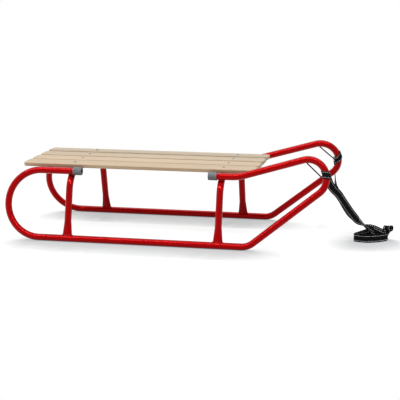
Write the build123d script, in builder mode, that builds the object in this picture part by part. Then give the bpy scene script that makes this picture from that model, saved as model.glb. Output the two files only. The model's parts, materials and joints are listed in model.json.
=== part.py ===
"""A steel-tube sled: two bent side frames on two arches, four seat slats and a webbing pull strap.

The front of the sled points along +X and its left side along +Y. The floor is Z = 0, and the
origin is under the middle of the rigid sled. Places along the sled are given as stations: the
distance forward of the centre of the rear bend. All sizes are in millimetres and degrees.
"""

from build123d import *
import os
from math import cos, degrees, pi, radians, sin, sqrt, tan

# --- tube stock -------------------------------------------------------------------------------
tube_od = 22.0
tube_wall = 1.5
weld_gap = 0.3  # what separates a tube from the tube that it is welded to
seat_gap = 0.2  # what separates a slat from the arch that it is screwed to

# --- side frame, one bent tube on each side ---------------------------------------------------
runner_spacing = 440.0  # between the middles of the two runners
side_lean = 12.9  # the frames lean inward, towards the seat
rear_radius = 108.0
runner_length = 682.0  # from the rear bend's centre to the corner at the front of the runner
front_bend_radius = 60.0
front_angle = 39.3  # the slope of the tube that climbs from the runner to the nose
nose_radius = 58.0
rise_angle = 16.7  # the slope of the tube that comes back down from the nose
rise_station = 643.0  # the corner where that tube turns level
rise_bend_radius = 150.0

# --- arches, one bent tube each, carrying the seat --------------------------------------------
rear_arch_station = 96.0
front_arch_station = 587.0
cross_drop = 3.15  # how far the cross tube's middle is below the middle of the top tubes
foot_height = 56.0  # the flattened foot starts this far above the middle of the runner
foot_width = 32.0  # along the runner
foot_thickness = 9.0
foot_depth = 2.0  # how far the foot's sides reach down past the top of the runner

# --- plastic end sleeves on the four tube ends ------------------------------------------------
sleeve_od = 26.0
sleeve_length = 27.5
sleeve_fit = 0.15  # the play all round between a sleeve and its tube
sleeve_end_wall = 2.0
sleeve_hole = 17.0
sleeve_edge = 1.2
sleeve_arch_gap = 0.5  # from an arch to the sleeve beside it
tube_end_gap = 0.3  # from a tube's end to the end wall of its sleeve

# --- seat --------------------------------------------------------------------------------------
slat_count = 4
slat_length = 762.0
slat_thickness = 12.0
slat_gap = 12.5
seat_side_gap = 7.0  # from the seat's edge to the sleeves beside it
slat_corner = 12.0  # the rounding of a slat's four corners, seen from above
slat_edge = 2.5
slat_rear_station = -70.0
outer_slat_tilt = 1.5  # the outer slats are drawn down a little towards the arches' bends

# --- pull strap --------------------------------------------------------------------------------
strap_width = 25.0
strap_thickness = 1.6
strap_fit = 0.3  # the play between the strap and what it touches
loop_thickness = 2.4  # the sewn end of the strap, folded round the tube
loop_angle = 12.0  # how far above the foremost point of the nose the loop sits
keeper_diameter = 2.0  # the thin line that keeps each loop from sliding down the nose
keeper_angle = 94.0  # where that line is tied, on the inside of the nose
keeper_end_gap = 1.0
hank_length = 110.0
hank_width = 78.0
hank_turn = 21.0  # the hank lies a little askew on the floor
hank_centre = (637.0, -1.0)

# --- what follows from those ------------------------------------------------------------------
tube_radius = tube_od / 2
top_height = 2 * rear_radius  # the level top tubes above the runners, along the leaning frame
half_spacing = runner_spacing / 2
lean_sin = sin(radians(side_lean))
lean_cos = cos(radians(side_lean))

# The climbing and the returning tube would meet at the apex; the nose is the arc between them.
climb = tan(radians(front_angle))
rise = tan(radians(rise_angle))
apex_station = (top_height - rise * rise_station + climb * runner_length) / (climb - rise)
apex_height = climb * (apex_station - runner_length)
nose_half_angle = (front_angle - rise_angle) / 2
nose_axis_angle = radians((front_angle + rise_angle) / 2)
apex_to_centre = nose_radius / sin(radians(nose_half_angle))
nose_station = apex_station - apex_to_centre * cos(nose_axis_angle)
nose_height = apex_height - apex_to_centre * sin(nose_axis_angle)

front_end = nose_station + nose_radius + tube_radius
rear_end = -rear_radius - tube_radius
mid_station = (front_end + rear_end) / 2


def across(height):
    """How far a point of the leaning frame, that high above the runner, is from the mid-plane."""
    return half_spacing - height * lean_sin


def up(height):
    """How high above the floor a point of the leaning frame is."""
    return tube_radius + height * lean_cos


def on_frame(station, height, side):
    """A point of the left (+1) or right (-1) side frame's middle line."""
    return Vector(station - mid_station, side * across(height), up(height))


left_frame_plane = Plane(
    origin=(-mid_station, half_spacing, tube_radius),
    x_dir=(1, 0, 0),
    z_dir=(0, -lean_cos, -lean_sin),
)

# --- side frames -------------------------------------------------------------------------------
# Each tube ends inside its sleeve, a little short of the sleeve's end wall.
tube_past_arch = tube_radius + sleeve_arch_gap + sleeve_length - sleeve_end_wall - tube_end_gap
rear_tube_end = rear_arch_station + tube_past_arch
front_tube_end = front_arch_station - tube_past_arch

with BuildPart() as side_frame_left:
    with BuildLine(left_frame_plane) as side_path:
        Line((rear_tube_end, top_height), (0, top_height))
        CenterArc((0, rear_radius), rear_radius, 90, 180)
        FilletPolyline(
            (0, 0),
            (runner_length, 0),
            (apex_station, apex_height),
            (rise_station, top_height),
            (front_tube_end, top_height),
            radius=[front_bend_radius, nose_radius, rise_bend_radius],
        )
    with BuildSketch(Plane(origin=side_path.line @ 0, z_dir=side_path.line % 0)):
        Circle(tube_radius)
        Circle(tube_radius - tube_wall, mode=Mode.SUBTRACT)
    sweep()

with BuildPart() as side_frame_right:
    mirror(side_frame_left.part, about=Plane.XZ)

# --- arches ------------------------------------------------------------------------------------
cross_height = up(top_height) - cross_drop
corner_height = (cross_height - tube_radius) / lean_cos
corner_across = across(corner_height)

# The arch's bend passes inside the side tube and just clears it, where the two are welded.
arch_turn = radians(90 - side_lean)
outward = Vector(0, cos(arch_turn / 2), sin(arch_turn / 2))
side_offset = Vector(0, across(top_height) - corner_across, up(top_height) - cross_height)
arch_bend_radius = (tube_od + weld_gap - side_offset.dot(outward)) / (1 / cos(arch_turn / 2) - 1)
bend_start = corner_across - arch_bend_radius * tan(arch_turn / 2)
foot_end = tube_radius - foot_depth


def leg_plane(station, height):
    """The plane across a leg of the left side, that high above the runner."""
    return Plane(
        origin=on_frame(station, height, 1), x_dir=(1, 0, 0), z_dir=(0, -lean_sin, lean_cos)
    )


def build_arch(station):
    """A cross tube and its two legs, with flattened feet that saddle the runners."""
    with BuildPart() as arch:
        with BuildLine(Plane.YZ.offset(station - mid_station)) as arch_path:
            FilletPolyline(
                (across(foot_height), up(foot_height)),
                (corner_across, cross_height),
                (-corner_across, cross_height),
                (-across(foot_height), up(foot_height)),
                radius=arch_bend_radius,
            )
        with BuildSketch(Plane(origin=arch_path.line @ 0, z_dir=arch_path.line % 0)):
            Circle(tube_radius)
            Circle(tube_radius - tube_wall, mode=Mode.SUBTRACT)
        sweep()
    with BuildPart() as foot:
        with BuildSketch(leg_plane(station, foot_height)):
            Circle(tube_radius)
        with BuildSketch(leg_plane(station, foot_end)):
            Ellipse(foot_width / 2, foot_thickness / 2)
        loft()
        with BuildSketch(leg_plane(station, foot_height)):
            Circle(tube_radius - tube_wall)
        with BuildSketch(leg_plane(station, foot_end)):
            Ellipse(foot_width / 2 - tube_wall, foot_thickness / 2 - tube_wall)
        loft(mode=Mode.SUBTRACT)
        with BuildSketch(Plane.YZ.offset(station - mid_station - foot_width)):
            with Locations((half_spacing, tube_radius)):
                Circle(tube_radius + weld_gap)
        extrude(amount=2 * foot_width, mode=Mode.SUBTRACT)
    with BuildPart() as whole:
        add(arch.part)
        add(foot.part)
        mirror(foot.part, about=Plane.XZ)
    return whole


rear_arch = build_arch(rear_arch_station)
front_arch = build_arch(front_arch_station)

# --- end sleeves -------------------------------------------------------------------------------


def build_sleeve(arch_station, facing):
    """A sleeve of the left side beside an arch; its open end faces forward (+1) or back (-1)."""
    start = arch_station + facing * (tube_radius + sleeve_arch_gap)
    centre = on_frame(start, top_height, 1)
    start_plane = Plane(origin=centre, x_dir=(0, 1, 0), z_dir=(facing, 0, 0))
    with BuildPart() as sleeve:
        with BuildSketch(start_plane):
            Circle(sleeve_od / 2)
        extrude(amount=sleeve_length)
        fillet(sleeve.edges().group_by(Axis.X)[-1 if facing > 0 else 0], radius=sleeve_edge)
        with BuildSketch(start_plane):
            Circle(tube_radius + sleeve_fit)
        extrude(amount=sleeve_length - sleeve_end_wall, mode=Mode.SUBTRACT)
        with BuildSketch(start_plane):
            Circle(sleeve_hole / 2)
        extrude(amount=sleeve_length, mode=Mode.SUBTRACT)
    return sleeve


sleeve_rear_left = build_sleeve(rear_arch_station, 1)
sleeve_front_left = build_sleeve(front_arch_station, -1)

with BuildPart() as sleeve_rear_right:
    mirror(sleeve_rear_left.part, about=Plane.XZ)
with BuildPart() as sleeve_front_right:
    mirror(sleeve_front_left.part, about=Plane.XZ)

# --- seat slats --------------------------------------------------------------------------------
seat_half_width = across(top_height) - sleeve_od / 2 - seat_side_gap
slat_width = (2 * seat_half_width - (slat_count - 1) * slat_gap) / slat_count
slat_pitch = slat_width + slat_gap
slat_middle_station = slat_rear_station + slat_length / 2
slat_underside = cross_height + tube_radius + seat_gap


def build_slat(number):
    """One slat; the first lies on the right and the last on the left."""
    middle = (number - (slat_count + 1) / 2) * slat_pitch
    side = {1: -1, slat_count: 1}.get(number, 0)
    lean = side * radians(outer_slat_tilt)
    hinge = side * bend_start  # an outer slat leans about the line where the bends begin
    underside = Plane(
        origin=(slat_middle_station - mid_station, hinge, slat_underside),
        x_dir=(1, 0, 0),
        z_dir=(0, sin(lean), cos(lean)),
    )
    with BuildPart() as slat:
        with BuildSketch(underside):
            with Locations((0, middle - hinge)):
                RectangleRounded(slat_length, slat_width, slat_corner)
        extrude(amount=slat_thickness)
        levels = slat.faces().sort_by(Axis.Z)
        fillet(levels[0].edges() + levels[-1].edges(), radius=slat_edge)
    return slat


slats = [build_slat(number) for number in range(1, slat_count + 1)]

# --- strap loops and keepers -------------------------------------------------------------------
loop_inner = tube_radius + strap_fit
loop_outer = loop_inner + loop_thickness
loop_span = degrees(strap_width / nose_radius)


def build_loop(side):
    """The sewn loop round the nose of the left (+1) or right (-1) frame."""
    start = radians(loop_angle - loop_span / 2)
    centre = on_frame(nose_station, nose_height, side)
    outward = Vector(cos(start), -side * sin(start) * lean_sin, sin(start) * lean_cos)
    along = Vector(-sin(start), -side * cos(start) * lean_sin, cos(start) * lean_cos)
    axis = Axis(origin=centre, direction=outward.cross(along))
    with BuildPart() as loop:
        with BuildSketch(Plane(origin=centre + outward * nose_radius, x_dir=outward, z_dir=along)):
            Circle(loop_outer)
            Circle(loop_inner, mode=Mode.SUBTRACT)
        revolve(axis=axis, revolution_arc=loop_span)
    return loop


strap_loop_left = build_loop(1)
strap_loop_right = build_loop(-1)


def inside_nose(angle, clearance):
    """A point of the left frame's plane on the inside of the nose, clear of its tube."""
    reach = nose_radius - tube_radius - clearance
    return on_frame(
        nose_station + reach * cos(radians(angle)), nose_height + reach * sin(radians(angle)), 1
    )


with BuildPart() as strap_keeper_left:
    keeper_start = inside_nose(keeper_angle, keeper_end_gap)
    keeper_end = inside_nose(loop_angle, keeper_end_gap + strap_fit + loop_thickness)
    with BuildSketch(Plane(origin=keeper_start, z_dir=keeper_end - keeper_start)):
        Circle(keeper_diameter / 2)
    extrude(amount=(keeper_end - keeper_start).length)

with BuildPart() as strap_keeper_right:
    mirror(strap_keeper_left.part, about=Plane.XZ)

# --- the free strap ----------------------------------------------------------------------------
# Each leg is a round cord of the webbing's own section, from its loop to the hank on the floor.
cord_diameter = sqrt(4 * strap_width * strap_thickness / pi)

right_leg_points = [
    (523.2, -155.6, 232.8),
    (527, -149, 213),
    (534, -138, 192),
    (544, -121, 171),
    (555, -101, 148),
    (568, -78, 121),
    (581, -55, 95),
    (595, -33, 72),
    (607, -16, 57),
    (620, -6, 48),
    (636, -2, 41.5),
    (652, 0, 35),
    (667, 1, 28.6),
]
left_leg_points = [
    (495.5, 173, 229),
    (492, 188, 207),
    (491, 198, 184),
    (495, 196, 160),
    (507, 175, 133),
    (525, 142, 107),
    (544, 106, 84),
    (564, 73, 67),
    (585, 44, 56),
    (603, 22, 50),
    (620, 11, 45.5),
    (637, 9, 40),
    (653, 10, 34),
    (667, 12, 28.6),
]


def bend_radii(points):
    """The largest even bends: 0.45 of the shorter run, over the tangent of half the turn."""
    corners = [Vector(*point) for point in points]
    radii = []
    for before, corner, after in zip(corners, corners[1:], corners[2:]):
        turn = (corner - before).get_angle(after - corner)
        shorter = min((corner - before).length, (after - corner).length)
        radii.append(0.45 * shorter / tan(radians(turn / 2)))
    return radii


def build_leg(name, points):
    """One leg of the strap, with its length and bend radii printed."""
    radii = bend_radii(points)
    with BuildPart() as leg:
        with BuildLine() as leg_path:
            FilletPolyline(*points, radius=radii)
        with BuildSketch(Plane(origin=leg_path.line @ 0, z_dir=leg_path.line % 0)):
            Circle(cord_diameter / 2)
        sweep()
    length = sum(edge.length for edge in leg_path.edges())
    section = strap_width * strap_thickness
    print(name, "length", round(length, 1), "radii", [round(radius) for radius in radii])
    print(name, "volume over section times length", round(leg.part.volume / section / length, 4))
    return leg


strap_leg_right = build_leg("strap_leg_right", right_leg_points)
strap_leg_left = build_leg("strap_leg_left", left_leg_points)

# The wound part of the strap, standing on edge on the floor.
with BuildPart() as strap_hank:
    with BuildSketch():
        with Locations(Location(hank_centre, hank_turn)):
            SlotOverall(hank_length, hank_width)
    extrude(amount=strap_width)

# --- the kept files ----------------------------------------------------------------------------
pieces = {
    "side_frame_left": side_frame_left,
    "side_frame_right": side_frame_right,
    "rear_arch": rear_arch,
    "front_arch": front_arch,
    "sleeve_rear_left": sleeve_rear_left,
    "sleeve_rear_right": sleeve_rear_right,
    "sleeve_front_left": sleeve_front_left,
    "sleeve_front_right": sleeve_front_right,
    "strap_loop_left": strap_loop_left,
    "strap_loop_right": strap_loop_right,
    "strap_keeper_left": strap_keeper_left,
    "strap_keeper_right": strap_keeper_right,
    "strap_leg_left": strap_leg_left,
    "strap_leg_right": strap_leg_right,
    "strap_hank": strap_hank,
}
for number, slat in enumerate(slats, 1):
    pieces[f"seat_slat_{number}"] = slat

os.makedirs("parts", exist_ok=True)
for name, piece in pieces.items():
    piece.part.label = name
    export_step(piece.part, f"parts/{name}.step")
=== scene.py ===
"""The looks of the steel-tube sled: paint, wood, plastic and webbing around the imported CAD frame.

Everything is in metres in the CAD frame: +X is the front of the sled, +Y its left side, and the
floor is Z = 0.
"""

import json
from bisect import bisect_right
from math import cos, pi, radians, sin, sqrt, tau

import bpy
from mathutils import Matrix, Vector


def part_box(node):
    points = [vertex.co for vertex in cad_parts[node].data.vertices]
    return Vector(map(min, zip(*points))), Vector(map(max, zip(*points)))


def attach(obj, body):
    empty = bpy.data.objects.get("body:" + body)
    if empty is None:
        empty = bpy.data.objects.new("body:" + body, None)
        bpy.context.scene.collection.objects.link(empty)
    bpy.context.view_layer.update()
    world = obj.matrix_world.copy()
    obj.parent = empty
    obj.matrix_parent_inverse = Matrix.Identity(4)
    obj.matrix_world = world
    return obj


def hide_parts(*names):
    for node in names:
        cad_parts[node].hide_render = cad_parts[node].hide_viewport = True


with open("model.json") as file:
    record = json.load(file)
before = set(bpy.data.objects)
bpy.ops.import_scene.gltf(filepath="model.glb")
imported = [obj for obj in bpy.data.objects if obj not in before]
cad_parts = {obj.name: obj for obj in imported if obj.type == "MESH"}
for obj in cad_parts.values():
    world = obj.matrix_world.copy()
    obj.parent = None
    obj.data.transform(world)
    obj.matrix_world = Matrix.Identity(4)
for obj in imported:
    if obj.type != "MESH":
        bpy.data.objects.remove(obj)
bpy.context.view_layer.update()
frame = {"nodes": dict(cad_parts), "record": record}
nodes = frame["nodes"]
scene = bpy.context.scene
MM = 0.001

# --- camera ------------------------------------------------------------------------------------
# The camera and the sled's shape were solved together from the photo's view.
camera_azimuth = radians(12.54)  # from the sled's right side towards its front
camera_elevation = radians(11.86)
camera_roll = radians(-0.22)
camera_distance = 3.97
camera_lens = 108.63
camera_target = Vector((0.0780, 0.0, 0.1071))

back = Vector((
    sin(camera_azimuth) * cos(camera_elevation),
    -cos(camera_azimuth) * cos(camera_elevation),
    sin(camera_elevation),
))
level_right = Vector((cos(camera_azimuth), sin(camera_azimuth), 0.0))
level_up = back.cross(level_right)
right = level_right * cos(camera_roll) + level_up * sin(camera_roll)
above = level_up * cos(camera_roll) - level_right * sin(camera_roll)

camera_data = bpy.data.cameras.new("camera")
camera_data.lens = camera_lens
camera_data.sensor_width = 36.0
camera_data.clip_end = 100.0
camera = bpy.data.objects.new("camera", camera_data)
camera.matrix_world = (
    Matrix.Translation(camera_target + back * camera_distance)
    @ Matrix((right, above, back)).transposed().to_4x4()
)
scene.collection.objects.link(camera)
scene.camera = camera
scene.view_settings.view_transform = "Standard"

# --- sizes shared with the frame ---------------------------------------------------------------
# Each repeats a size that the CAD source has or works out.
tube_radius = 11.0 * MM
half_spacing = 220.0 * MM  # from the middle plane to the middle of a runner
side_lean = radians(12.9)  # the frames lean inward, towards the seat
lean_sin = sin(side_lean)
lean_cos = cos(side_lean)
nose_radius = 58.0 * MM
nose_centre = Vector((454.91, 170.77, 225.93)) * MM  # of the left frame
slat_count = 4
slat_pitch = 79.0 * MM  # from the middle of one slat to the middle of the next
bend_start = 112.73 * MM  # from the middle plane to where an arch's bends start
arch_bend_radius = 75.0 * MM
strap_width = 25.0 * MM
strap_thickness = 1.6 * MM
strap_fit = 0.3 * MM  # the play between a loop and its nose


# --- helpers for pieces ------------------------------------------------------------------------
def add_mesh(name, vertices, faces, material, uvs=None):
    """A smooth mesh piece that rides on the sled's one body; uvs has each face's list of pairs."""
    mesh = bpy.data.meshes.new(name)
    mesh.from_pydata([tuple(v) for v in vertices], [], faces)
    if uvs:
        layer = mesh.uv_layers.new(name="strap")
        corners = [uv for face_uvs in uvs for uv in face_uvs]
        for corner, uv in zip(layer.data, corners):
            corner.uv = uv
    mesh.update()
    mesh.shade_smooth()
    mesh.materials.append(material)
    piece = bpy.data.objects.new(name, mesh)
    scene.collection.objects.link(piece)
    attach(piece, "root")
    return piece


def spline_points(places):
    """The points along the smooth NURBS line that the given places control."""
    curve = bpy.data.curves.new("route", "CURVE")
    curve.dimensions = "3D"
    curve.resolution_u = 10
    spline = curve.splines.new("NURBS")
    spline.points.add(len(places) - 1)
    for point, place in zip(spline.points, places):
        point.co = (*place, 1.0)
    spline.order_u = 3
    spline.use_endpoint_u = True
    holder = bpy.data.objects.new("route", curve)
    mesh = bpy.data.meshes.new_from_object(holder)
    points = [vertex.co.copy() for vertex in mesh.vertices]
    bpy.data.objects.remove(holder)
    bpy.data.curves.remove(curve)
    bpy.data.meshes.remove(mesh)
    return points


def tube_faces(rings, around, closed=False):
    """Quads between rings of vertices, with flat ends on an open tube."""
    faces = []
    for ring in range(rings if closed else rings - 1):
        here = ring * around
        there = (ring + 1) % rings * around
        for corner in range(around):
            following = (corner + 1) % around
            faces.append((here + corner, here + following, there + following, there + corner))
    if not closed:
        faces.append(tuple(reversed(range(around))))
        faces.append(tuple((rings - 1) * around + corner for corner in range(around)))
    return faces


def oval(place, one, two, around):
    """A ring of corners round place, with one and two as its half axes."""
    turns = [tau * corner / around for corner in range(around)]
    return [place + one * cos(turn) + two * sin(turn) for turn in turns]


def add_tube(vertices, faces, rings, closed=False):
    """Adds a tube through rings of corners to the lists of a mesh that holds many."""
    first = len(vertices)
    for ring in rings:
        vertices += ring
    new_faces = tube_faces(len(rings), len(rings[0]), closed)
    faces += [tuple(first + vertex for vertex in face) for face in new_faces]


# --- materials ---------------------------------------------------------------------------------
class NodeTree:
    """A small hand for building the node tree of a material or a world."""

    def __init__(self, owner, output="ShaderNodeOutputMaterial"):
        owner.use_nodes = True
        self.owner = owner
        self.node_tree = owner.node_tree
        self.node_tree.nodes.clear()
        self.output = self.add(output)

    def add(self, kind, inputs=None, **settings):
        """A node with its settings, its input values and its input links."""
        node = self.node_tree.nodes.new(kind)
        for key, value in settings.items():
            setattr(node, key, value)
        for key, value in (inputs or {}).items():
            socket = node.inputs[key]
            if isinstance(value, bpy.types.NodeSocket):
                self.node_tree.links.new(value, socket)
            else:
                socket.default_value = value
        return node

    def ramp(self, value, stops, interpolation="LINEAR"):
        """A colour ramp; each stop is a position and a linear colour."""
        node = self.add("ShaderNodeValToRGB", {"Fac": value})
        ramp = node.color_ramp
        ramp.interpolation = interpolation
        while len(ramp.elements) < len(stops):
            ramp.elements.new(0.5)
        for element, (position, colour) in zip(ramp.elements, stops):
            element.position = position
            element.color = (*colour, 1.0)
        return node.outputs["Color"]

    def math(self, operation, first, second=0.0, third=0.0):
        """The result of a math operation on up to three numbers or sockets."""
        inputs = {0: first, 1: second, 2: third}
        return self.add("ShaderNodeMath", inputs, operation=operation).outputs[0]

    def mix(self, factor, first, second, blend="MIX"):
        """The first colour where factor is 0, and the second blended over it where it is 1."""
        inputs = {0: factor, 6: first, 7: second}
        return self.add("ShaderNodeMix", inputs, data_type="RGBA", blend_type=blend).outputs[2]

    def multiply(self, factor, first, second):
        """One colour darkened by another, to the degree that factor says."""
        return self.mix(factor, first, second, "MULTIPLY")

    def place(self, scale=(1.0, 1.0, 1.0), source="Object"):
        """Object or UV coordinates, each axis multiplied by its own factor."""
        coordinates = self.add("ShaderNodeTexCoord").outputs[source]
        return self.add("ShaderNodeMapping", {"Vector": coordinates, "Scale": scale}).outputs[0]

    def noise(self, vector, scale, detail=3.0, roughness=0.5):
        """Soft noise around 0.5, with scale cells for each unit of vector."""
        inputs = {"Vector": vector, "Scale": scale, "Detail": detail, "Roughness": roughness}
        return self.add("ShaderNodeTexNoise", inputs).outputs["Fac"]

    def openness(self, distance, samples=8, **inputs):
        """1 where nothing is near the surface, and less in its corners and gaps."""
        inputs["Distance"] = distance
        return self.add("ShaderNodeAmbientOcclusion", inputs, samples=samples).outputs["AO"]

    def bump(self, height, distance, strength):
        """Surface relief that is distance high where height is 1."""
        inputs = {"Height": height, "Distance": distance, "Strength": strength}
        return self.add("ShaderNodeBump", inputs).outputs["Normal"]

    def finish(self, shader):
        """Links the last shader to the output and returns the material or world."""
        self.node_tree.links.new(shader, self.output.inputs["Surface"])
        return self.owner

    def principled(self, **inputs):
        """A finished material; underscores in the input names stand for spaces."""
        named = {key.replace("_", " "): value for key, value in inputs.items()}
        return self.finish(self.add("ShaderNodeBsdfPrincipled", named).outputs["BSDF"])


def material_tree(name):
    """The node tree of a new material."""
    return NodeTree(bpy.data.materials.new(name))


def red_paint():
    """Gloss red enamel with a slight orange peel, a faint drift of tone and painted shade in its
    hollows.
    """
    tree = material_tree("red_paint")
    place = tree.place()
    cloud = tree.noise(place, 9.0, detail=2.0)
    colour = tree.ramp(cloud, [(0.3, (0.31, 0.0003, 0.0006)), (0.7, (0.37, 0.0004, 0.0008))])
    # Painted shade: the insides of the tubes and the tightest corners are darkened by how enclosed they
    # are, which also stands for the bare steel inside the tubes.
    painted_shade = tree.ramp(tree.openness(30 * MM), [(0.15, (0.02, 0.02, 0.02)), (0.45, (1.0, 1.0, 1.0))])
    colour = tree.multiply(1.0, colour, painted_shade)
    smear = tree.noise(place, 30.0, detail=3.0)
    peel = tree.noise(place, 420.0, detail=1.0)
    return tree.principled(
        Base_Color=colour,
        Roughness=tree.math("MULTIPLY_ADD", smear, 0.05, 0.04),
        IOR=1.7,
        Specular_IOR_Level=1.0,
        Specular_Tint=(1.0, 0.022, 0.026, 1.0),
        Normal=tree.bump(peel, 0.01 * MM, 0.4),
    )


def long_grain(tree, fine):
    """The wood's colour along the slats: slow bands, fine streaks and short flecks."""
    slow = tree.noise(tree.place((0.9, 26, 26)), 1.0, detail=4.0, roughness=0.6)
    fleck = tree.noise(tree.place((60, 900, 900)), 1.0, detail=1.0)
    tones = [(0.25, (0.50, 0.38, 0.245)), (0.5, (0.605, 0.465, 0.312)), (0.75, (0.66, 0.53, 0.37))]
    base = tree.ramp(slow, tones)
    streak = tree.ramp(fine, [(0.35, (0.80, 0.77, 0.74)), (0.6, (1.0, 1.0, 1.0))])
    colour = tree.multiply(0.5, base, streak)
    flecks = tree.ramp(fleck, [(0.68, (1.0, 1.0, 1.0)), (0.76, (0.74, 0.64, 0.54))])
    return tree.multiply(0.5, colour, flecks)


def slat_tone(tree):
    """Each slat's own tone. They lie side by side across Y, from the right side to the left."""
    across = tree.add("ShaderNodeSeparateXYZ", {"Vector": tree.place()}).outputs["Y"]
    share = tree.math("MULTIPLY_ADD", across, 1 / (slat_count * slat_pitch), 0.5)
    tones = [(0.0, (0.97, 0.96, 0.94)), (0.25, (1.0, 1.0, 1.0)), (0.5, (0.96, 0.98, 1.0)),
             (0.75, (0.84, 0.87, 0.92))]
    return tree.ramp(share, tones, "CONSTANT")


def end_grain(tree):
    """The rings that show as arcs on the slats' sawn ends."""
    rings = tree.add(
        "ShaderNodeTexWave",
        {"Vector": tree.place((0, 1, 1.6)), "Scale": 75.0, "Distortion": 3.0, "Detail": 2.0},
        wave_type="RINGS",
    ).outputs["Fac"]
    return tree.ramp(rings, [(0.2, (0.58, 0.45, 0.30)), (0.8, (0.74, 0.60, 0.42))])


def seat_wood():
    """Pale beech with a long fine grain, whose slats differ a little in tone."""
    tree = material_tree("seat_wood")
    fine = tree.noise(tree.place((7, 420, 420)), 1.0, detail=3.0, roughness=0.6)
    colour = tree.multiply(1.0, long_grain(tree, fine), slat_tone(tree))
    # Painted shade: the sides facing across Y are darker and a little browner than the tops.
    facing = tree.add("ShaderNodeNewGeometry").outputs["Normal"]
    facing = tree.add("ShaderNodeSeparateXYZ", {"Vector": facing})
    sideways = tree.math("ABSOLUTE", facing.outputs["Y"])
    side_shade = tree.ramp(sideways, [(0.5, (1.0, 1.0, 1.0)), (0.9, (0.97, 0.92, 0.89))])
    colour = tree.multiply(1.0, colour, side_shade)
    on_end = tree.math("GREATER_THAN", tree.math("ABSOLUTE", facing.outputs["X"]), 0.7)
    colour = tree.mix(on_end, colour, end_grain(tree))
    # Painted shade darkens the gaps between the slats and other enclosed corners.
    gap_shade = tree.ramp(tree.openness(20 * MM), [(0.3, (0.50, 0.46, 0.42)), (0.9, (1.0, 1.0, 1.0))])
    return tree.principled(
        Base_Color=tree.multiply(1.0, colour, gap_shade),
        Roughness=tree.math("MULTIPLY_ADD", fine, 0.16, 0.40),
        Specular_IOR_Level=0.4,
        Normal=tree.bump(fine, 0.08 * MM, 0.5),
    )


def sleeve_plastic():
    """Blue-grey moulded plastic with a fine matt texture."""
    tree = material_tree("sleeve_plastic")
    place = tree.place()
    cloud = tree.noise(place, 60.0, detail=3.0)
    colour = tree.ramp(cloud, [(0.3, (0.135, 0.157, 0.169)), (0.7, (0.170, 0.192, 0.206))])
    grain = tree.noise(place, 1500.0, detail=2.0)
    return tree.principled(
        Base_Color=colour,
        Roughness=tree.math("MULTIPLY_ADD", cloud, 0.1, 0.46),
        Specular_IOR_Level=0.35,
        Normal=tree.bump(grain, 0.06 * MM, 0.5),
    )


rib_pitch = 1.8 * MM
weft_pitch = 1.4 * MM


def webbing():
    """Black woven webbing: ribs along the strap, crossed by the weft's fine steps."""
    tree = material_tree("webbing")
    cloud = tree.noise(tree.place(), 140.0, detail=3.0)
    parts = tree.add("ShaderNodeSeparateXYZ", {"Vector": tree.place(source="UV")})
    along, across = parts.outputs["X"], parts.outputs["Y"]
    warp = tree.math("SINE", tree.math("MULTIPLY", across, tau / rib_pitch))
    weft = tree.math("SINE", tree.math("MULTIPLY", along, tau / weft_pitch))
    weave = tree.math("MULTIPLY_ADD", tree.math("MULTIPLY", warp, weft), 0.5, 0.5)
    yarn = tree.ramp(weave, [(0.1, (0.0015, 0.0015, 0.0018)), (0.9, (0.0075, 0.0072, 0.0078))])
    drift = tree.ramp(cloud, [(0.3, (0.7, 0.7, 0.7)), (0.7, (1.0, 1.0, 1.0))])
    return tree.principled(
        Base_Color=tree.multiply(1.0, yarn, drift),
        Roughness=0.7,
        Specular_IOR_Level=0.08,
        Normal=tree.bump(weave, 0.25 * MM, 0.9),
    )


def two_tone(name, low, high, scale, roughness, metallic=0.0):
    """A material whose colour drifts between two tones, with a fine grain."""
    tree = material_tree(name)
    place = tree.place()
    cloud = tree.noise(place, scale, detail=3.0)
    grain = tree.noise(place, scale * 12, detail=2.0)
    return tree.principled(
        Base_Color=tree.ramp(cloud, [(0.3, low), (0.7, high)]),
        Roughness=tree.math("MULTIPLY_ADD", cloud, 0.12, roughness - 0.06),
        Metallic=metallic,
        Normal=tree.bump(grain, 0.03 * MM, 0.5),
    )


red = red_paint()
wood = seat_wood()
plastic = sleeve_plastic()
black_webbing = webbing()
line_black = two_tone("keeper_line", (0.014, 0.003, 0.007), (0.040, 0.010, 0.020), 300.0, 0.7)
thread_grey = two_tone("stitch_thread", (0.60, 0.60, 0.60), (0.80, 0.80, 0.78), 400.0, 0.8)
zinc = two_tone("zinc", (0.15, 0.145, 0.135), (0.24, 0.235, 0.22), 200.0, 0.42, metallic=0.6)

look = {
    "red_paint": red,
    "seat_wood": wood,
    "sleeve_plastic": plastic,
    "webbing": black_webbing,
    "keeper_line": line_black,
}
# Each CAD piece gets the material of its slot.
for part in frame["record"]["subparts"]:
    node = nodes[part["node"]]
    node.data.materials.clear()
    node.data.materials.append(look[part["material_slot"]])

# --- the pull strap ----------------------------------------------------------------------------
# One strap goes from the right loop down to the floor, once round the hank, folds back in a tab
# that stands up at the hank's front end, and goes round inside again and up to the left loop.
# Each place is in millimetres, with the direction of the strap's width there.
on_edge = (0.0, 0.0, 1.0)
right_leg = [
    ((513, -152.5, 229), (0.45, 0.20, 0.80)),
    ((518, -148, 210), (0.70, 0.29, 0.65)),
    ((529, -138, 189), (0.75, 0.29, 0.60)),
    ((544, -121, 171), (0.75, 0.29, 0.60)),
    ((555, -101, 148), (0.75, 0.29, 0.60)),
    ((568, -78, 121), (0.75, 0.29, 0.60)),
    ((581, -55, 95), (0.75, 0.29, 0.60)),
    ((595, -33, 72), (0.60, 0.60, 0.30)),
    ((607, -16, 57), (0.0, 1.0, -0.10)),
    ((618, -5, 48), (-0.10, 1.0, -0.10)),
    ((632, -1, 42.5), (0.0, 0.80, 0.50)),
    ((649, 2, 35), (0.10, 0.25, 0.95)),
    ((667, 6, 26.5), (0.10, 0.10, 0.97)),
    ((682, 8, 18.5), on_edge),
]
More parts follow.
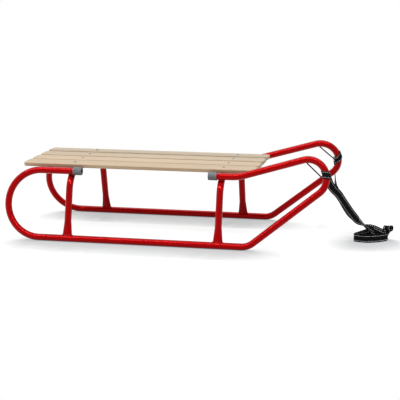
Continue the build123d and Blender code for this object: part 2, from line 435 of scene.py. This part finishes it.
outer_turn = [
    ((694, 6, 14), on_edge),
    ((688, -10, 12.9), on_edge),
    ((671, -25, 12.9), on_edge),
    ((650, -39, 12.9), on_edge),
    ((627, -46, 12.9), on_edge),
    ((606, -41, 12.9), on_edge),
    ((588, -36, 12.9), on_edge),
    ((587, -22, 12.9), on_edge),
    ((597, -6, 13.5), on_edge),
    ((609, 10, 15), on_edge),
    ((622, 29, 16.5), on_edge),
    ((642, 36, 16.5), on_edge),
    ((664, 32, 15), on_edge),
]
tab = [
    ((684, 25, 13), (0.0, 0.10, 1.0)),
    ((697, 10, 20), (0.50, 0.60, 0.60)),
    ((690, 1, 31), (0.80, -0.10, 0.30)),
    ((687, 2, 42), (0.90, -0.25, 0.12)),
    ((693, 9, 48), (0.95, -0.25, 0.03)),
    ((698, 16, 41), (0.70, -0.55, 0.50)),
    ((697, 20, 27), (0.30, -0.50, 0.60)),
]
inner_turn = [
    ((679, 15, 14), (0.10, 0.0, 1.0)),
    ((660, 21, 12.9), on_edge),
    ((643, 26, 12.9), on_edge),
    ((629, 21, 12.9), on_edge),
    ((618, 6, 12.9), on_edge),
    ((607, -10, 12.9), on_edge),
    ((599, -24, 12.9), on_edge),
    ((611, -31, 12.9), on_edge),
    ((628, -35, 12.9), on_edge),
    ((647, -29, 12.9), on_edge),
    ((665, -16, 12.9), on_edge),
    ((677, -5, 13), on_edge),
]
left_leg = [
    ((496, 173, 229), (-0.07, 1.0, -0.05)),
    ((498, 188, 207), (-0.07, 1.0, -0.05)),
    ((499, 198, 184), (-0.07, 1.0, -0.05)),
    ((500, 195, 160), (-0.05, 1.0, -0.05)),
    ((507, 175, 133), (0.10, 0.90, 0.05)),
    ((525, 142, 107), (0.45, 0.50, 0.45)),
    ((545, 106, 84), (0.60, 0.20, 0.70)),
    ((565, 73, 67), (0.65, 0.30, 0.60)),
    ((586, 44, 56), (0.60, 0.60, 0.30)),
    ((602, 22, 50), (0.10, 1.0, 0.0)),
    ((616, 8, 46), (-0.10, 1.0, -0.10)),
    ((630, 2, 40), (0.0, 0.80, 0.40)),
    ((645, -1, 31), (0.20, 0.30, 0.90)),
    ((662, 1, 23), (0.20, 0.10, 0.95)),
    ((677, 3, 16), (0.0, 0.10, 1.0)),
]
strap_route = right_leg + outer_turn + tab + inner_turn + left_leg[::-1]


class Ribbon:
    """A flat strap along a route, which can be asked for its place and faces at any length."""

    def __init__(self, route):
        middles = [Vector(place) * MM for place, width in route]
        edges = [
            middle + Vector(width).normalized() * strap_width / 2
            for middle, (place, width) in zip(middles, route)
        ]
        self.points = spline_points(middles)
        self.edges = spline_points(edges)
        self.starts = [0.0]
        for before, after in zip(self.points, self.points[1:]):
            self.starts.append(self.starts[-1] + (after - before).length)
        self.length = self.starts[-1]

    def at(self, distance):
        """The place, the width's direction and the facing direction, that far along."""
        index = min(max(bisect_right(self.starts, distance) - 1, 0), len(self.points) - 2)
        share = (distance - self.starts[index]) / (self.starts[index + 1] - self.starts[index])
        place = self.points[index].lerp(self.points[index + 1], share)
        ahead = self.points[min(index + 2, len(self.points) - 1)]
        behind = self.points[max(index - 1, 0)]
        forward = (ahead - behind).normalized()
        width = self.edges[index].lerp(self.edges[index + 1], share) - place
        width = (width - forward * width.dot(forward)).normalized()
        return place, width, forward.cross(width)


def band_profile(width, thickness):
    """The section of a webbing band: (across, out, uv across) round two flat, edge-rounded faces."""
    half = width / 2 - thickness / 2
    spread = [half * step / 3 for step in range(-3, 4)]
    top = [(place, thickness / 2, place) for place in spread]
    side = [(half + thickness / 2 * cos(turn), thickness / 2 * sin(turn), width / 2)
            for turn in (pi / 4, 0.0, -pi / 4)]
    lower = [(-place, -thickness / 2, -place) for place in spread]
    other = [(-across, -out, -width / 2) for across, out, edge in side]
    return top + side + lower + other


def build_strap(ribbon):
    """The strap's mesh, with UVs in metres along and across it."""
    profile = band_profile(strap_width, strap_thickness)
    around = len(profile)
    vertices = []
    for distance in ribbon.starts:
        place, width, facing = ribbon.at(distance)
        vertices += [place + width * across + facing * out for across, out, edge in profile]
    faces = tube_faces(len(ribbon.starts), around)
    uvs = [
        [(ribbon.starts[vertex // around], profile[vertex % around][2]) for vertex in face]
        for face in faces
    ]
    strap = add_mesh("pull_strap", vertices, faces, black_webbing, uvs)
    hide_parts("strap_leg_left", "strap_leg_right", "strap_hank")
    return strap


stitch_inset = 8.0 * MM  # from the strap's middle line to either line of stitches
stitch_pitch = 6.4 * MM
stitch_length = 4.4 * MM
stitch_radius = 0.85 * MM  # half the thread's width
stitch_flatness = 0.45  # how thick the pressed thread is for its width
stitch_sink = 0.75  # how deep a stitch is pressed in, as a share of half its thickness
stitch_lead = 0.2  # how far each line's first stitch is from the strap's end, in pitches
stitches_end = 95.0 * MM  # the plain length at the left leg's top


def stitch_ring(place, width, facing, size):
    """The flat ring of corners at one place of a stitch, at a share of the thread's full size."""
    half_width = stitch_radius * size
    return oval(place, width * half_width, facing * half_width * stitch_flatness, around=6)


def build_stitching(ribbon):
    """Two lines of stitches on both faces of the strap, all joined in one mesh."""
    vertices, faces = [], []
    # Shares of the stitch's length, and of the thread's full size there.
    shape = [(0.0, 0.35), (0.18, 0.9), (0.5, 1.0), (0.82, 0.9), (1.0, 0.35)]
    for number in range(int((ribbon.length - stitches_end) / stitch_pitch)):
        start = (number + stitch_lead) * stitch_pitch
        for line in (-stitch_inset, stitch_inset):
            for face in (-1, 1):
                rings = []
                for share, size in shape:
                    place, width, facing = ribbon.at(start + share * stitch_length)
                    lift = strap_thickness / 2 + stitch_radius * stitch_flatness * (size - stitch_sink)
                    place = place + width * line + facing * face * lift
                    rings.append(stitch_ring(place, width, facing, size))
                add_tube(vertices, faces, rings)
    return add_mesh("strap_stitching", vertices, faces, thread_grey)


ribbon = Ribbon(strap_route)
strap = build_strap(ribbon)
stitching = build_stitching(ribbon)

# --- the strap's loops round the noses ---------------------------------------------------------
loop_inner = tube_radius + strap_fit
loop_thickness = 1.8 * MM
loop_middle = loop_inner + loop_thickness / 2
loop_angle = radians(12.0)  # how far above the foremost point of the nose the loop sits
loop_rings = 56


def nose_place(side, angle, reach):
    """A point of a side frame's plane, at that angle and distance from the nose's centre."""
    centre = Vector((nose_centre.x, side * nose_centre.y, nose_centre.z))
    up_frame = Vector((0.0, -side * lean_sin, lean_cos))
    return centre + Vector((cos(angle), 0.0, 0.0)) * reach + up_frame * sin(angle) * reach


class NoseWrap:
    """Places on a sleeve round the nose's tube; turn goes round the tube, shift along it.

    It lies slip further up the tube than the loop's own place, and wraps the tube aslant.
    """

    def __init__(self, side, slip, slant, slant_turn):
        self.side = side
        self.slip = slip
        self.slant = slant
        self.slant_turn = slant_turn
        self.outboard = Vector((0.0, side * lean_cos, lean_sin))

    def at(self, turn, shift, reach):
        """The place, the direction along the tube and the outward direction."""
        # The webbing keeps its width on the inside and the outside of the nose's bend.
        across_bend = shift / (nose_radius + reach * cos(turn))
        along_tube = self.slip + self.slant * cos(turn - self.slant_turn)
        angle = loop_angle + along_tube / nose_radius + across_bend
        middle = nose_place(self.side, angle, nose_radius)
        radial = (middle - nose_place(self.side, angle, 0.0)).normalized()
        along = self.outboard.cross(radial) * self.side
        outward = radial * cos(turn) + self.outboard * sin(turn)
        return middle + outward * reach, along, outward


def build_loop_band(wrap, label):
    """The sewn end of the strap round one nose."""
    profile = band_profile(strap_width, loop_thickness)
    around = len(profile)
    vertices = []
    for ring in range(loop_rings):
        turn = tau * ring / loop_rings
        for across, out, edge in profile:
            place, along, outward = wrap.at(turn, across, loop_middle + out)
            vertices.append(place)
    faces = tube_faces(loop_rings, around, closed=True)
    step = tau / loop_rings * loop_middle
    uvs = []
    for number, face in enumerate(faces):
        start = number // around * step
        lengths = (start, start, start + step, start + step)
        uvs.append([(u, profile[vertex % around][2]) for u, vertex in zip(lengths, face)])
    loop = add_mesh(f"strap_loop_band_{label}", vertices, faces, black_webbing, uvs)
    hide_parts(f"strap_loop_{label}")


def build_loop_stitching(wrap, label):
    """Two lines of stitches round the outside of one loop."""
    vertices, faces = [], []
    outer = loop_middle + loop_thickness / 2
    count = round(tau * outer / stitch_pitch)
    span = stitch_length / outer
    # Shares of the stitch's length, and of the thread's full size there.
    shape = [(0.0, 0.35), (0.25, 0.95), (0.5, 1.0), (0.75, 0.95), (1.0, 0.35)]
    for number in range(count):
        for line in (-stitch_inset, stitch_inset):
            rings = []
            for share, size in shape:
                turn = tau * number / count + share * span
                reach = outer + stitch_radius * stitch_flatness * (size - stitch_sink)
                place, along, outward = wrap.at(turn, line, reach)
                rings.append(stitch_ring(place, along, outward, size))
            add_tube(vertices, faces, rings)
    add_mesh(f"loop_stitching_{label}", vertices, faces, thread_grey)


left_wrap = NoseWrap(1, slip=-3.0 * MM, slant=9.0 * MM, slant_turn=radians(10.0))
right_wrap = NoseWrap(-1, slip=0.0, slant=3.8 * MM, slant_turn=radians(180.0))
for wrap, label in ((left_wrap, "left"), (right_wrap, "right")):
    build_loop_band(wrap, label)
    build_loop_stitching(wrap, label)

# --- the thin lines that keep the loops in place -----------------------------------------------
line_radius = 1.3 * MM  # of one of the two strands
line_lay = 9.0 * MM  # the length of one turn of the twist
strand_offset = 0.9 * line_radius  # from the line's middle to a strand's, so that the two press together
steps_per_turn = 12
keeper_angle = radians(94.0)
keeper_low_angle = radians(4.0)  # where it meets the loop's lower half
keeper_inset = 1.6 * MM  # from the tube's surface to the line's middle at its top
keeper_low_inset = 3.0 * MM  # the same at its lower end, where the loop lies between
knot_radius = 1.2 * MM
knot_turns = 2.5
knot_steps = 48


def add_strand(vertices, faces, points):
    """A round strand of the keeper line along close points."""
    # The guide is a direction that no strand follows, so the rings don't twist along one.
    guide = Vector((0.31, 0.52, 0.80)).normalized()
    rings = []
    for index, point in enumerate(points):
        forward = points[min(index + 1, len(points) - 1)] - points[max(index - 1, 0)]
        one = forward.cross(guide).normalized() * line_radius
        two = forward.cross(one).normalized() * line_radius
        rings.append(oval(point, one, two, around=7))
    add_tube(vertices, faces, rings)


def twisted(start, end, phase):
    """The middle line of one strand of a two-strand twist between two points."""
    direction = end - start
    one = direction.cross(Vector((0.0, 1.0, 0.2))).normalized()
    two = direction.cross(one).normalized()
    steps = round(direction.length / line_lay * steps_per_turn)
    points = []
    for step in range(steps + 1):
        turn = phase + tau * step / steps_per_turn
        offset = (one * cos(turn) + two * sin(turn)) * strand_offset
        points.append(start + direction * step / steps + offset)
    return points


def add_knot(vertices, faces, centre, across):
    """A small knot: one strand wound round the line."""
    one = across.cross(Vector((0.0, 1.0, 0.0))).normalized()
    two = across.cross(one).normalized()
    points = []
    for step in range(knot_steps + 1):
        share = step / knot_steps
        turn = knot_turns * tau * share
        spread = (one * cos(turn) + two * sin(turn)) * knot_radius
        points.append(centre + spread + across.normalized() * knot_radius * (2 * share - 1))
    add_strand(vertices, faces, points)


def build_keeper(side, label):
    """A twisted line from the underside of the nose's top to the loop, with both its knots."""
    inside = nose_radius - tube_radius
    start = nose_place(side, keeper_angle, inside - keeper_inset)
    end = nose_place(side, keeper_low_angle, inside - keeper_low_inset)
    vertices, faces = [], []
    for phase in (0.0, pi):
        add_strand(vertices, faces, twisted(start, end, phase))
    for place in (start, end):
        add_knot(vertices, faces, place, end - start)
    keeper = add_mesh(f"keeper_line_{label}", vertices, faces, line_black)
    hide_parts(f"strap_keeper_{label}")


build_keeper(1, "left")
build_keeper(-1, "right")

# --- welds -------------------------------------------------------------------------------------
runner_middle_height = tube_radius
cross_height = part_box("rear_arch")[1][2] - tube_radius  # of the middle of an arch's cross tube
foot_half_length = 16.0 * MM  # along the runner
foot_half_thickness = 4.5 * MM
foot_lift = 0.4 * MM  # how far the foot's bead stands off the runner's surface
foot_bead_radius = 1.7 * MM
crossing_reach = 7.5 * MM  # how far the bead runs out round the point where two tubes cross
crossing_half_gap = 0.15 * MM  # half the gap between those tubes
crossing_bead_radius = 2.0 * MM
weld_pitch = 2.6 * MM  # from one ripple of a bead to the next
weld_ripple = 0.12  # how much the bead swells and shrinks at each ripple


def arch_place(arch):
    """The X of the middle of an arch's tube."""
    low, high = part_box(arch)
    return (low[0] + high[0]) / 2


def add_bead(vertices, faces, curve, radius):
    """A closed, rippled weld bead along curve(turn)."""
    steps = 96
    points = [curve(tau * step / steps) for step in range(steps)]
    length = sum((after - before).length for before, after in zip(points, points[1:]))
    ripples = round(length / weld_pitch)
    centre = sum(points, Vector()) / steps
    rings = []
    for step, point in enumerate(points):
        forward = (points[(step + 1) % steps] - points[step - 1]).normalized()
        outward = point - centre
        outward = (outward - forward * outward.dot(forward)).normalized()
        upward = forward.cross(outward)
        phase = (step / steps * ripples) % 1.0
        size = radius * (1 - weld_ripple + 2 * weld_ripple * phase)
        rings.append(oval(point, outward * size, upward * size, around=8))
    add_tube(vertices, faces, rings, closed=True)


def foot_curve(x, side):
    """The line round an arch's flattened foot, as it lies over the round runner."""
    runner = Vector((x, side * half_spacing, runner_middle_height))
    leg = Vector((0.0, -side * lean_sin, lean_cos))
    outboard = Vector((0.0, side * lean_cos, lean_sin))

    def saddle(turn):
        shift = foot_half_thickness * sin(turn)
        rise = sqrt((tube_radius + foot_lift) ** 2 - shift**2)
        forward = Vector((foot_half_length * cos(turn), 0.0, 0.0))
        return runner + forward + outboard * shift + leg * rise

    return saddle


def crossing_curve(x, side, sleeve):
    """The line round the point where an arch's bend passes under the tube that holds a sleeve."""
    low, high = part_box(sleeve)
    top = Vector((x, (low[1] + high[1]) / 2, (low[2] + high[2]) / 2))
    bend = Vector((x, side * bend_start, cross_height - arch_bend_radius))
    normal = (top - bend).normalized()
    contact = top - normal * (tube_radius + crossing_half_gap)
    tangent = Vector((1.0, 0.0, 0.0)).cross(normal)

    def cleft(turn):
        forward = crossing_reach * cos(turn)
        sideways = crossing_reach * sin(turn)
        middle = (sideways**2 - forward**2) / (4 * tube_radius)
        return contact + Vector((forward, 0.0, 0.0)) + tangent * sideways + normal * middle

    return cleft


def build_welds(end):
    """The beads at an arch's two feet and where its bends pass under the two top tubes."""
    arch = f"{end}_arch"
    x = arch_place(arch)
    vertices, faces = [], []
    for side, label in ((1, "left"), (-1, "right")):
        add_bead(vertices, faces, foot_curve(x, side), foot_bead_radius)
        crossing = crossing_curve(x, side, f"sleeve_{end}_{label}")
        add_bead(vertices, faces, crossing, crossing_bead_radius)
    add_mesh(f"{arch}_welds", vertices, faces, red)


build_welds("rear")
build_welds("front")

# --- screws ------------------------------------------------------------------------------------
screw_radius = 4.6 * MM
screw_height = 1.9 * MM
dome_power = 2.4  # the higher it is, the flatter the head's middle
recess_depth = 1.3 * MM
recess_half_width = 0.13  # of each arm of the cross, as a share of the head's radius
recess_reach = 0.52  # of each arm, as a share of the head's radius
inner_slat_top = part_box("seat_slat_2")[1][2]


def screw_height_at(reach, turn):
    """The height of a domed head with a cross recess, at a share of its radius and a turn."""
    dome = screw_height * (1 - reach**dome_power)
    east, north = abs(cos(turn)) * reach, abs(sin(turn)) * reach
    narrow, long = sorted((east, north))
    in_width = max(0.0, 1 - (narrow / recess_half_width) ** 4)
    in_reach = max(0.0, 1 - (long / recess_reach) ** 4)
    return dome - recess_depth * in_width * in_reach


def add_screw(vertices, faces, place):
    """One screw's head, closed below, on the slat at place."""
    around, steps = 40, 14
    first = len(vertices)
    for step in range(1, steps + 1):
        reach = step / steps
        for corner in range(around):
            turn = tau * corner / around
            flat = Vector((cos(turn), sin(turn), 0.0)) * reach * screw_radius
            vertices.append(place + flat + Vector((0.0, 0.0, screw_height_at(reach, turn))))
    centre = len(vertices)
    vertices.append(place + Vector((0.0, 0.0, screw_height_at(0.0, 0.0))))
    for step in range(steps - 1):
        here = first + step * around
        for corner in range(around):
            following = (corner + 1) % around
            faces.append((here + corner, here + around + corner,
                          here + around + following, here + following))
    faces += [(centre, first + corner, first + (corner + 1) % around) for corner in range(around)]
    rim = first + (steps - 1) * around
    faces.append(tuple(rim + corner for corner in reversed(range(around))))


def build_screws(number):
    """The two screws of one slat, one over each arch."""
    low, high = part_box(f"seat_slat_{number}")
    y = (low[1] + high[1]) / 2
    # The outer slats lean. Their heads stand level, about 0.5 mm over the slats' middle line.
    top = (high[2] + inner_slat_top) / 2
    vertices, faces = [], []
    for arch in ("rear_arch", "front_arch"):
        add_screw(vertices, faces, Vector((arch_place(arch), y, top)))
    add_mesh(f"slat_screws_{number}", vertices, faces, zinc)


for number in range(1, slat_count + 1):
    build_screws(number)

# --- floor, world and lights -------------------------------------------------------------------
white = (1.0, 1.0, 1.0, 1.0)
ambient_level = 0.19
shade_reach = 0.14  # how near a thing has to be to shade the floor
shade_sideways = 0.94  # how far to the left a place on the floor looks for what shades it
shade_upward = 0.34  # and how far up, as parts of one direction
shade_spread = 2.0  # how far the runners' shade turns away from the sled's middle, for each metre
runner_shade_end = 0.45  # past this X only the hank is near enough to shade the floor
plain_from = 0.8  # past this distance the floor starts to turn plain white
plain_past = 1.4
floor_half = 60.0  # half the length of the floor's sides
floor_drop = 0.4 * MM  # keeps the floor clear of the runners' undersides


def seen_rays(tree):
    """1 for camera, glossy and transmission rays, and 0 for those that light the object."""
    path = tree.add("ShaderNodeLightPath")
    seen = tree.math("MAXIMUM", path.outputs["Is Camera Ray"], path.outputs["Is Glossy Ray"])
    return tree.math("MAXIMUM", seen, path.outputs["Is Transmission Ray"])


def painted_floor_shade(tree):
    """Painted shade for the floor's glow: full light in the open, less beside the runners and the hank.
    """
    # Looking for what is near only to the left, and a little up, keeps the shade on the right.
    along = tree.add("ShaderNodeSeparateXYZ", {"Vector": tree.place()}).outputs["X"]
    by_runners = tree.math("LESS_THAN", along, runner_shade_end)
    outwards = tree.math("MULTIPLY", tree.math("MULTIPLY", along, by_runners), shade_spread)
    towards = {"X": outwards, "Y": shade_sideways, "Z": shade_upward}
    towards = tree.add("ShaderNodeCombineXYZ", towards).outputs[0]
    towards = tree.add("ShaderNodeVectorMath", {0: towards}, operation="NORMALIZE").outputs[0]
    openness = tree.openness(shade_reach, samples=16, Normal=towards)
    shades = [(0.84, (0.44, 0.45, 0.46)), (0.93, (0.58, 0.59, 0.59)), (0.98, (0.88, 0.88, 0.88))]
    return tree.ramp(openness, shades)


def floor_material():
    """White in the open, darker in the sled's cast shadow, with painted shade close beside it."""
    tree = material_tree("floor")
    bounce = tree.add("ShaderNodeBsdfDiffuse", {"Color": (0.55, 0.55, 0.55, 1)}).outputs[0]
    lit = tree.add("ShaderNodeBsdfDiffuse", {"Color": (0.25, 0.25, 0.25, 1)}).outputs[0]
    glow = tree.add("ShaderNodeEmission", {"Color": painted_floor_shade(tree), "Strength": 1.0}).outputs[0]
    near = tree.add("ShaderNodeAddShader", {0: lit, 1: glow}).outputs[0]
    plain = tree.add("ShaderNodeEmission", {"Color": white, "Strength": 1.0}).outputs[0]
    distance = tree.add("ShaderNodeVectorMath", {0: tree.place()}, operation="LENGTH").outputs["Value"]
    away = tree.add(
        "ShaderNodeMapRange", {"Value": distance, "From Min": plain_from, "From Max": plain_past},
        interpolation_type="SMOOTHSTEP",
    ).outputs["Result"]
    shown = tree.add("ShaderNodeMixShader", {0: away, 1: near, 2: plain}).outputs[0]
    mixed = tree.add("ShaderNodeMixShader", {0: seen_rays(tree), 1: bounce, 2: shown}).outputs[0]
    return tree.finish(mixed)


floor_mesh = bpy.data.meshes.new("floor")
floor_mesh.from_pydata(
    [(-floor_half, -floor_half, 0), (floor_half, -floor_half, 0),
     (floor_half, floor_half, 0), (-floor_half, floor_half, 0)],
    [],
    [(0, 1, 2, 3)],
)
floor_mesh.materials.append(floor_material())
floor = bpy.data.objects.new("floor", floor_mesh)
floor.location.z = -floor_drop
scene.collection.objects.link(floor)


def studio_world():
    """White where it is seen, and a plain low light on the object."""
    tree = NodeTree(bpy.data.worlds.new("studio"), "ShaderNodeOutputWorld")
    ambient = tree.add("ShaderNodeBackground", {"Color": white, "Strength": ambient_level}).outputs[0]
    backdrop = tree.add("ShaderNodeBackground", {"Color": white, "Strength": 1.0}).outputs[0]
    mixed = tree.add("ShaderNodeMixShader", {0: seen_rays(tree), 1: ambient, 2: backdrop}).outputs[0]
    return tree.finish(mixed)


scene.world = studio_world()


def softbox(name, place, aim, width, depth, power):
    """A rectangular area lamp at place, facing aim."""
    data = bpy.data.lights.new(name, "AREA")
    data.shape = "RECTANGLE"
    data.size = width
    data.size_y = depth
    data.energy = power
    lamp = bpy.data.objects.new(name, data)
    lamp.location = place
    lamp.rotation_euler = (Vector(aim) - Vector(place)).to_track_quat("-Z", "Y").to_euler()
    scene.collection.objects.link(lamp)


softbox(
    "top_light", place=(0.1, 0.5, 2.4), aim=(0.1, 0.0, 0.1), width=3.2, depth=1.6, power=29.0,
)
# A long lamp on the sled's right draws one bright line along each tube, round bends and noses.
softbox(
    "front_light", place=(-0.3, -1.75, 2.5), aim=(0.0, 0.0, 0.15), width=4.8, depth=0.3, power=72.0,
)
